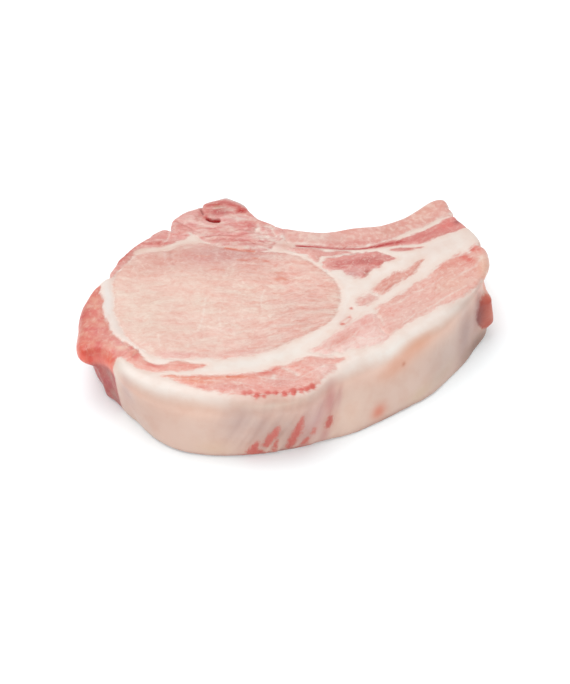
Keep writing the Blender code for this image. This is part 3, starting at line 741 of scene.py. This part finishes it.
# ---------------------------------------------------------------- the chop
class Chop:
    """The skin with its layers, relief and tones, vertex by vertex."""

    def __init__(self):
        self.base, self.faces = skin()
        self.up = normals_of(self.base, self.faces)
        self.xy = self.base[:, :2]
        self.high = self.base[:, 2]
        self.wall = self.base[:, [0, 2]]
        self.top = np.clip(self.up[:, 2], 0, 1)
        self.under = np.clip(-self.up[:, 2], 0, 1)
        self.side = 1 - np.abs(self.up[:, 2])
        self.upper = smooth(self.high, THICKNESS - TOP_FADE[0], THICKNESS - TOP_FADE[1])
        self.front = (smooth(self.side, 0.08, 0.4) * smooth(-self.up[:, 1], -0.35, -0.1)
                      * smooth(self.xy[:, 0], *FRONT_FADE))
        self.drift_outlines()
        self.gather_layers()
        self.mix_layers()
        self.break_up_zone()
        self.places = self.base + self.up * self.relief()[:, None]
        self.cut_notches()
        self.paint_grounds()
        self.paint_wall()
        self.paint_clouds()
        self.paint_lines()

    def drift_outlines(self):
        """Plan places nudged about, so that the listed outlines turn natural."""
        wander = [noise(self.base, (9, 9, 22), seed) * 0.9
                  + noise(self.base, (3.6, 3.6, 12), seed + 5) * 0.45 for seed in (51, 52)]
        self.drifted = self.xy + np.stack(wander, 1)
        self.nudged = self.xy * 0.75 + self.drifted * 0.25
        self.specks = noise(self.base, (1.3, 1.3, 5), 13)

    def flow(self, degrees, curl=0.0):
        """Coordinates along and across fibres that run at an angle."""
        turn = math.radians(degrees)
        x, y = self.drifted[:, 0], self.drifted[:, 1]
        reach = np.maximum(x - EYE_CURL_FROM, 0)
        y = y - curl * reach * smooth(-y, -6, 26) * reach
        along = x * math.cos(turn) + y * math.sin(turn)
        aside = y * math.cos(turn) - x * math.sin(turn)
        return np.column_stack([along, aside, self.high])

    def gather_layers(self):
        """Each lean part, streak and bead, with its depth at every vertex."""
        self.layers = []
        self.own_depth = {}
        for name, part in LEAN.items():
            outline, tone, turn, fleck, line, ragged, haze = part
            grain = self.flow(turn, EYE_CURL if name == "loin_eye" else 0.0)
            frays = (noise(grain, (4.5, 1.5, 14), 11) * 0.9
                     + noise(grain, (2.0, 0.9, 8), 12) * 0.55 + self.specks * 0.3)
            plan = self.drifted * 0.6 + self.xy * 0.4
            if name == "cap_muscle":
                plan = plan - cap_bulge(self.high)
            depth = depth_inside(plan, closed_curve(outline)) + frays * ragged
            if name == "loin_eye":
                line = line * (0.6 + 0.55 * smooth(self.xy[:, 0], -45, 5))
            if name == "end_flap":
                depth = np.minimum(depth, flap_depth(self.base) + frays * ragged)
            self.own_depth[name] = depth
            self.layers.append((depth, tone, fleck, line, haze, grain, 0.0))
        grain = self.flow(90)
        for path in STREAKS:
            depth = self.specks * 0.3 - near_path(self.wall, path, True) - 0.2
            depth = np.where(self.front > 0.5, depth, OUTSIDE)
            self.layers.append((depth, STREAK_TONE, 0.2, 0.7, 1.7, grain, SMALL_PART_FORCE))
        grain = self.flow(0)
        for x, y, wide in BEADS:
            depth = wide - np.hypot(*(self.xy - (x, y)).T) + self.specks * 0.4
            depth = np.where(self.high > 18, depth, OUTSIDE)
            self.layers.append((depth, BEAD_TONE, 0.1, 0.6, 1.3, grain, SMALL_PART_FORCE))

    def mix_layers(self):
        """How deep each vertex lies in lean, and that lean's tone and texture."""
        count = len(self.xy)
        total, self.marble, self.streak, self.haze = np.zeros((4, count))
        self.lean_tone, self.grain = np.zeros((2, count, 3))
        self.lean = np.full(count, OUTSIDE)
        for depth, tone, fleck, line, haze, grain, force in self.layers:
            weight = np.exp(np.clip(depth, -30, 3) * (1.6 + force) + force)
            total += weight
            self.lean_tone += np.array(tone, float) * weight[:, None]
            self.marble += fleck * weight
            self.streak += line * weight
            self.haze += haze * weight
            self.grain = np.where((depth > self.lean)[:, None], grain, self.grain)
            self.lean = np.maximum(self.lean, depth)
        self.lean_tone /= total[:, None]
        self.marble /= total
        self.streak /= total
        self.haze /= total
        self.bone = depth_inside(self.drifted, closed_curve(BONE)) + self.specks * 0.3

    def break_up_zone(self):
        """Half fatty, broken meat between the back muscle and the bone."""
        zone = patch(self.xy, *BROKEN_MEAT) * smooth(self.high, 0, 10)
        broken = (noise(self.base, (3.4, 3.0, 8), 21) * 1.5
                  + noise(self.base, (1.7, 1.5, 5), 22) * 0.9 + 0.75)
        share = smooth(zone, 0.3, 0.75)
        self.lean = self.lean * (1 - share) + broken * share
        self.bone = self.bone - 4 * smooth(zone, 0.35, 0.8)
        self.haze = self.haze * (1 - share) + 1.6 * share
        self.broken = share

    def relief(self):
        """How far each vertex rises along its normal, in mm."""
        flat = self.base * (1, 1, 0)
        inside = np.maximum(np.maximum(self.lean, self.bone), 0)
        meaty = smooth(self.lean, -0.2, 0.4) * (1 - smooth(self.bone, -0.2, 0.4))
        fibres = noise(self.grain, (7, 1.7, 9), 31)
        folds = noise(self.grain, (14, 3.2, 12), 32)
        rise = self.top * (0.45 * noise(flat, 26, 1) + 0.20 * noise(flat, 9, 2))
        rise += self.top * 0.40 * (1 - np.exp(-inside / 2.5))
        rise -= self.top * 0.22 * hump(self.lean, 0.7)
        rise += meaty * self.streak * (0.09 * fibres + 0.14 * folds)
        rise += smooth(self.own_depth["back_muscle"], 0, 1.5) * self.top * 0.40 * folds
        rise += self.broken * self.top * 0.35 * noise(self.base, (3, 2.6, 6), 23)
        rise += self.top * 0.7 * patch(self.xy, *KNOB)
        rise -= self.top * 2.0 * hump(near_path(self.xy, SLIT), 0.62)
        for _, wide, _, groove, path in LINES:
            if groove:
                rise -= self.top * groove * hump(near_path(self.nudged, path), wide + 0.3)

        rise += self.side * (0.7 * noise(self.base, (16, 16, 30), 3)
                             + 0.24 * noise(self.base, 5, 4))
        rise += self.side * 0.7 * np.sin(np.clip(self.high / THICKNESS, 0, 1) * math.pi)
        slant = self.xy[:, 0] - self.high * 0.45
        slanted = np.column_stack([slant, slant * 0, self.high * 0.16])
        self.ribs = noise(slanted, 3.2, 7) * 0.7 + noise(slanted, 1.5, 8) * 0.5
        rise += self.front * hump(self.xy[:, 0] + 3, 20) * 0.45 * self.ribs
        return rise * (1 - self.under)

    def cut_notches(self):
        """Pushes the wall in or out round each notch, and keeps it off the floor."""
        for x, y, deep, wide, reach, low, high in NOTCHES:
            away = np.where(self.side > 0.8, np.hypot(*(self.xy - (x, y)).T), np.inf)
            nearest = np.argmin(away)
            inward = -self.up[nearest, :2] / np.linalg.norm(self.up[nearest, :2])
            across = (self.xy - (x, y)) @ inward
            along = (self.xy - (x, y)) @ np.array((-inward[1], inward[0]))
            fade = smooth(self.high, low - 2.5, low + 2.5)
            fade *= 1 - smooth(self.high, high - 1.2, high + 1.2)
            pull = deep * fade * np.exp(-(across / reach) ** 2 - (along / wide) ** 2)
            self.places[:, :2] += pull[:, None] * inward
        self.places[:, 2] = np.maximum(self.places[:, 2], 0.0)

    def blend(self, layer, tone, share):
        """Moves a layer's tone towards another by a share at each vertex."""
        old = self.tones[layer]
        self.tones[layer] = old + (np.array(tone, float) - old) * np.clip(share, 0, 1)[:, None]

    def add(self, layer, change, amount):
        """Adds an amount of a change of tone at each vertex."""
        self.tones[layer] = self.tones[layer] + amount[:, None] * change

    def paint_grounds(self):
        """Tones of lean, bone and fat, with the soft local tones over them."""
        count = len(self.xy)
        self.tones = {"meat": self.lean_tone, "fat": np.tile(np.array(FAT_TOP_TONE), (count, 1))}
        turned = smooth(self.side, 0.14, 0.80)
        self.blend("fat", FAT_SIDE_TONE, turned)
        warmer, height, half = WARM_BAND
        band = hump(self.high - height, half) * self.front * turned
        band *= 1 - 0.9 * hump(self.xy[:, 0] - STRIP_MIDDLE, 20)
        self.add("fat", warmer, band)
        self.blend("meat", BONE_TONE, smooth(self.bone, -0.3, 0.3))
        for layer, patches, plane, reach in (("meat", MEAT_ON_TOP, self.xy, self.upper),
                                             ("fat", FAT_ON_TOP, self.xy, self.upper),
                                             ("meat", MEAT_IN_FRONT, self.wall, self.front),
                                             ("fat", FAT_IN_FRONT, self.wall, self.front)):
            for *oval, tone, strength in patches:
                self.blend(layer, tone, patch(plane, *oval) * strength * reach)

    def paint_wall(self):
        """Slanted strips down the fat's front and the shade below the left lip."""
        strips = hump(self.xy[:, 0] - STRIP_MIDDLE, 22) * self.front
        strips *= smooth(self.high, -2, 3) * (1 - smooth(self.high, 22, 27))
        self.add("fat", STRIP_CHANGE, strips * self.ribs)
        left = smooth(-self.xy[:, 0], 58, 62) * smooth(-self.xy[:, 1], -12, -4)
        shade = left * (1 - smooth(self.high, *LIP_SHADE_HEIGHTS))
        self.blend("meat", LIP_SHADE_TONE, shade)
        veins = smooth(noise(self.base, (7, 7, 5), 45), 0.15, 0.6)
        self.blend("meat", LIP_DARK_TONE, veins * shade * 0.8)

    def paint_clouds(self):
        """Broad clouds over both layers, finer ones on the back and cap muscles."""
        broad = noise(self.base, 9, 41) * 0.5 + noise(self.base, 4, 42) * 0.5
        rosy = noise(self.grain, (6, 3, 6), 43)
        self.add("meat", (1.5, 4.0, 3.5), broad)
        self.add("meat", (-1.0, 3.5, 3.0), rosy)
        self.add("fat", (1.5, 2.5, 2.8), broad)
        patchy = smooth(self.own_depth["back_muscle"], 0, 1) * smooth(self.xy[:, 0], -64, -28)
        patches = noise(self.grain, (3.6, 1.5, 6), 46) + 0.6 * noise(self.grain, (1.8, 0.9, 5), 47)
        self.add("meat", (5, 24, 21), patchy * patches)
        spots = noise(self.base, (2.6, 2.6, 6), 48) + 0.6 * noise(self.base, (1.3, 1.3, 4), 49)
        self.add("meat", (5, 21, 16), spots * smooth(self.own_depth["cap_muscle"], 0, 1))

    def paint_lines(self):
        """Thin lines over both layers, and the slit."""
        breaks = noise(self.base, (5, 5, 9), 44)
        over = self.upper * (1 - 0.6 * smooth(self.side, 0.5, 1.0)) * (0.8 + 0.35 * breaks)
        for tone, wide, strength, _, path in LINES:
            share = strength * hump(near_path(self.nudged, path), wide) * over
            for layer in self.tones:
                self.blend(layer, tone, share)
        near = near_path(self.xy, SLIT)
        self.blend("meat", SLIT_TONE, hump(near, SLIT_HALF, 4) * self.upper)
        self.streak *= 1 - hump(near, 1.2)
        self.marble *= 1 - hump(near, 1.2)

    def fields(self):
        """What the shader reads at every vertex."""
        light = (TOP_LIGHT + (SIDE_LIGHT - TOP_LIGHT) * self.side)[:, None]
        is_bone = smooth(self.bone, -0.3, 0.3)
        return {
            "lean": np.maximum(self.lean, self.bone) / np.maximum(self.haze, 0.3),
            "sponge": is_bone,
            "marble": self.marble * (1 - is_bone) * (1 - 0.6 * self.side),
            "streak": self.streak * (1 - is_bone),
            "meat_tone": linear(self.tones["meat"], light),
            "fat_tone": linear(self.tones["fat"], light),
            "grain": self.grain,
        }

    def owners(self):
        """The CAD node that each face belongs to."""
        middle = self.base[self.faces].mean(1)
        owner = np.full(len(self.faces), "fat", dtype=object)
        deepest = np.zeros(len(self.faces))
        for name, node in NODE_OF.items():
            shift = cap_bulge(middle[:, 2]) if name == "cap_muscle" else 0
            outline = BONE if name == "rib_bone" else LEAN[name][0]
            depth = depth_inside(middle[:, :2] - shift, closed_curve(outline))
            if name == "end_flap":
                depth = np.minimum(depth, flap_depth(middle))
            owner[depth > deepest] = node
            deepest = np.maximum(deepest, depth)
        return owner

    def build(self):
        """One visible piece for each node, all with the whole skin's shading."""
        shade = normals_of(self.places, self.faces)
        owner = self.owners()
        fields = self.fields()
        for node in sorted(set(owner)):
            build_piece(node, self.places, self.faces[owner == node], shade, fields)


def build_piece(node, places, faces, shade, fields):
    """One visible piece from its share of the skin."""
    used, faces = np.unique(faces, return_inverse=True)
    local = places[used].copy()
    local[:, :2] -= MIDDLE
    mesh = bpy.data.meshes.new(node + "_skin")
    mesh.from_pydata((local * MM).tolist(), [], faces.reshape(-1, 3).tolist())
    for name, values in fields.items():
        values = values[used]
        if name.endswith("tone"):
            values = np.column_stack([values, np.ones(len(values))])
        kind, slot = {1: ("FLOAT", "value"), 3: ("FLOAT_VECTOR", "vector"),
                      4: ("FLOAT_COLOR", "color")}[values.size // len(used)]
        layer = mesh.attributes.new(name, kind, "POINT")
        layer.data.foreach_set(slot, values.astype(np.float32).ravel())
    mesh.shade_smooth()
    mesh.normals_split_custom_set_from_vertices(shade[used].tolist())
    mesh.materials.append(meat_material(node))
    piece = bpy.data.objects.new(node + "_skin", mesh)
    bpy.context.scene.collection.objects.link(piece)
    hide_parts(node)
    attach(piece, "root")


# --------------------------------------------------------------- materials
class Graph:
    """Small helper for building a node tree."""

    def __init__(self, material):
        self.tree = material.node_tree
        self.shader = self.tree.nodes["Principled BSDF"]

    def node(self, kind, **settings):
        made = self.tree.nodes.new(kind)
        for key, value in settings.items():
            setattr(made, key, value)
        return made

    def feed(self, socket, value):
        if isinstance(value, (int, float, tuple)):
            socket.default_value = value
        else:
            self.tree.links.new(value, socket)

    def read(self, name, output="Fac"):
        return self.node("ShaderNodeAttribute", attribute_name=name).outputs[output]

    def maths(self, operation, *values):
        made = self.node("ShaderNodeMath", operation=operation)
        for socket, value in zip(made.inputs, values):
            self.feed(socket, value)
        return made.outputs[0]

    def folded(self, operation, first, *rest):
        for value in rest:
            first = self.maths(operation, first, value)
        return first

    def times(self, *factors):
        return self.folded("MULTIPLY", *factors)

    def plus(self, *terms):
        return self.folded("ADD", *terms)

    def cloud(self, vector, factors, detail=2.0, rough=0.5, twist=0.0):
        """Noise over the vector multiplied by three factors."""
        spread = self.node("ShaderNodeVectorMath", operation="MULTIPLY")
        self.feed(spread.inputs[0], vector)
        self.feed(spread.inputs[1], factors)
        made = self.node("ShaderNodeTexNoise")
        self.feed(made.inputs["Vector"], spread.outputs[0])
        for key, number in (("Scale", 1.0), ("Detail", detail), ("Roughness", rough),
                            ("Distortion", twist)):
            made.inputs[key].default_value = number
        return made.outputs["Fac"]

    def ramp(self, value, low, high, to_low=0.0, to_high=1.0, soft=True):
        made = self.node("ShaderNodeMapRange")
        made.interpolation_type = "SMOOTHSTEP" if soft else "LINEAR"
        self.feed(made.inputs["Value"], value)
        for key, number in (("From Min", low), ("From Max", high),
                            ("To Min", to_low), ("To Max", to_high)):
            made.inputs[key].default_value = number
        return made.outputs["Result"]

    def mix(self, share, a, b, blend="MIX"):
        made = self.node("ShaderNodeMix", data_type="RGBA", blend_type=blend)
        made.clamp_factor = True
        self.feed(made.inputs["Factor"], share)
        self.feed(made.inputs[6], a)
        self.feed(made.inputs[7], b)
        return made.outputs[2]

    def tinted(self, share, colour, factors):
        """The colour multiplied by three factors, by the given share."""
        return self.mix(share, colour, self.mix(1.0, colour, factors + (1.0,), "MULTIPLY"))


def per_mm(scale):
    """The same number of noise lumps for each millimetre along all three axes."""
    return (scale / MM,) * 3


def meat_material(name):
    """Raw meat, fat and bone, by what each vertex knows."""
    material = bpy.data.materials.new(name)
    material.use_nodes = True
    graph = Graph(material)
    place = graph.node("ShaderNodeTexCoord").outputs["Object"]
    grain = graph.read("grain", "Vector")
    lean, marble, streak = graph.read("lean"), graph.read("marble"), graph.read("streak")
    sponge = graph.read("sponge")
    meat, fat = graph.read("meat_tone", "Color"), graph.read("fat_tone", "Color")

    # edge between lean and fat, frayed along the fibres
    fray = graph.cloud(grain, (0.35, 0.9, 0.5), 2.0, 0.6)
    shifted = graph.plus(lean, graph.ramp(fray, 0.0, 1.0, -0.9, 0.9, soft=False))
    cover = graph.ramp(shifted, -0.6, 0.6)

    # fibres: fine darker and paler strokes, and broader ones in redder and paler meat
    fine = graph.cloud(grain, (0.42, 1.05, 0.5), 3.0, 0.65, 0.7)
    broad = graph.cloud(grain, (0.11, 0.30, 0.14), 2.0, 0.55, 0.6)
    for strokes, none, full, tint in ((fine, 0.52, 0.34, (0.93, 0.85, 0.84)),
                                      (fine, 0.48, 0.68, (1.05, 1.12, 1.12)),
                                      (broad, 0.52, 0.36, (0.975, 0.84, 0.82)),
                                      (broad, 0.48, 0.66, (1.01, 1.13, 1.14))):
        meat = graph.tinted(graph.times(graph.ramp(strokes, none, full), streak), meat, tint)

    # marbling: soft pale veins and flecks along the fibres, redder meat between
    vein = graph.cloud(grain, (0.16, 0.34, 0.2), 1.5, 0.5, 1.0)
    ridge = graph.ramp(graph.maths("ABSOLUTE", graph.plus(vein, -0.5)), 0.045, 0.0)
    fleck = graph.cloud(grain, (0.44, 0.58, 0.45), 3.0, 0.6, 0.8)
    pale = graph.plus(graph.times(ridge, 0.22), graph.times(graph.ramp(fleck, 0.50, 0.70), 0.95))
    meat = graph.mix(graph.times(pale, marble, 0.55), meat, MILKY)
    meat = graph.tinted(graph.times(graph.ramp(fleck, 0.49, 0.34), marble), meat, (0.96, 0.80, 0.77))

    # spongy bone: soft pale and red cells
    cell = graph.cloud(place, per_mm(0.42), 3.0, 0.55, 0.4)
    meat = graph.mix(graph.times(graph.ramp(cell, 0.48, 0.68), sponge, 0.34), meat, MILKY)
    meat = graph.tinted(graph.times(graph.ramp(cell, 0.52, 0.36), sponge), meat, (0.97, 0.86, 0.84))

    # fat: faint clouds, rosy next to the lean
    cloud = graph.cloud(place, per_mm(0.16), 3.0, 0.55)
    fat = graph.tinted(graph.ramp(cloud, 0.42, 0.70), fat, (0.975, 0.93, 0.91))
    fat = graph.tinted(graph.times(graph.ramp(shifted, -2.6, -0.4), 0.7), fat, (0.985, 0.90, 0.87))

    # fine relief
    tiny = graph.cloud(place, per_mm(1.6), 3.0, 0.6)
    rise = graph.plus(graph.times(fine, streak, 0.5), graph.times(pale, marble, 0.12),
                  graph.times(cell, sponge, 0.6))
    rise = graph.plus(graph.times(rise, cover), graph.times(tiny, 0.12))
    bump = graph.node("ShaderNodeBump")
    bump.inputs["Strength"].default_value = 0.8
    bump.inputs["Distance"].default_value = 0.6 * MM
    graph.feed(bump.inputs["Height"], rise)

    wet = graph.cloud(place, per_mm(0.22), 2.0, 0.5)
    for key, value in (("Base Color", graph.mix(cover, fat, meat)),
                       ("Roughness", graph.ramp(wet, 0.35, 0.65, 0.30, 0.46, soft=False)),
                       ("Normal", bump.outputs[0]),
                       ("IOR", 1.42), ("Coat Weight", 0.12), ("Coat Roughness", 0.18)):
        graph.feed(graph.shader.inputs[key], value)
    return material


# ----------------------------------------------------- floor, light, camera
def placed(name, data):
    """A new object that holds the data, in the scene."""
    made = bpy.data.objects.new(name, data)
    bpy.context.scene.collection.objects.link(made)
    return made


def lay_floor():
    """White sweep under the chop."""
    shape = bmesh.new()
    bmesh.ops.create_grid(shape, x_segments=1, y_segments=1, size=3.0)
    mesh = bpy.data.meshes.new("sweep")
    shape.to_mesh(mesh)
    shape.free()
    paper = bpy.data.materials.new("white_paper")
    paper.use_nodes = True
    for key, value in PAPER.items():
        paper.node_tree.nodes["Principled BSDF"].inputs[key].default_value = value
    mesh.materials.append(paper)
    placed("sweep", mesh)


def set_lights():
    """White surroundings, a soft overhead lamp and a weak one in front."""
    world = bpy.data.worlds.new("white_room")
    bpy.context.scene.world = world
    world.use_nodes = True
    sky = world.node_tree.nodes["Background"]
    sky.inputs["Color"].default_value = (1.0, 1.0, 1.0, 1)
    sky.inputs["Strength"].default_value = ROOM_LIGHT
    for name, (place, watts) in LAMPS.items():
        lamp = bpy.data.lights.new(name, "AREA")
        lamp.size = LAMP_SIZE
        lamp.energy = watts
        holder = placed(name, lamp)
        holder.location = place
        holder.rotation_euler = (-Vector(place)).to_track_quat("-Z", "Y").to_euler()
        holder.visible_glossy = name == "overhead"


def set_camera():
    """The camera, level with the row's x axis and looking down at the chop."""
    lens = bpy.data.cameras.new("camera")
    lens.lens = CAMERA_LENS
    lens.clip_start = 0.01
    eye = placed("camera", lens)
    tilt = math.radians(CAMERA_TILT)
    back = Vector((0, -math.cos(tilt), math.sin(tilt)))
    eye.location = Vector(CAMERA_TARGET) + back * CAMERA_DISTANCE
    eye.rotation_euler = (math.pi / 2 - tilt, 0, 0)
    bpy.context.scene.camera = eye
    bpy.context.scene.view_settings.view_transform = "Standard"
    bpy.context.scene.view_settings.look = "None"


Chop().build()
lay_floor()
set_lights()
set_camera()
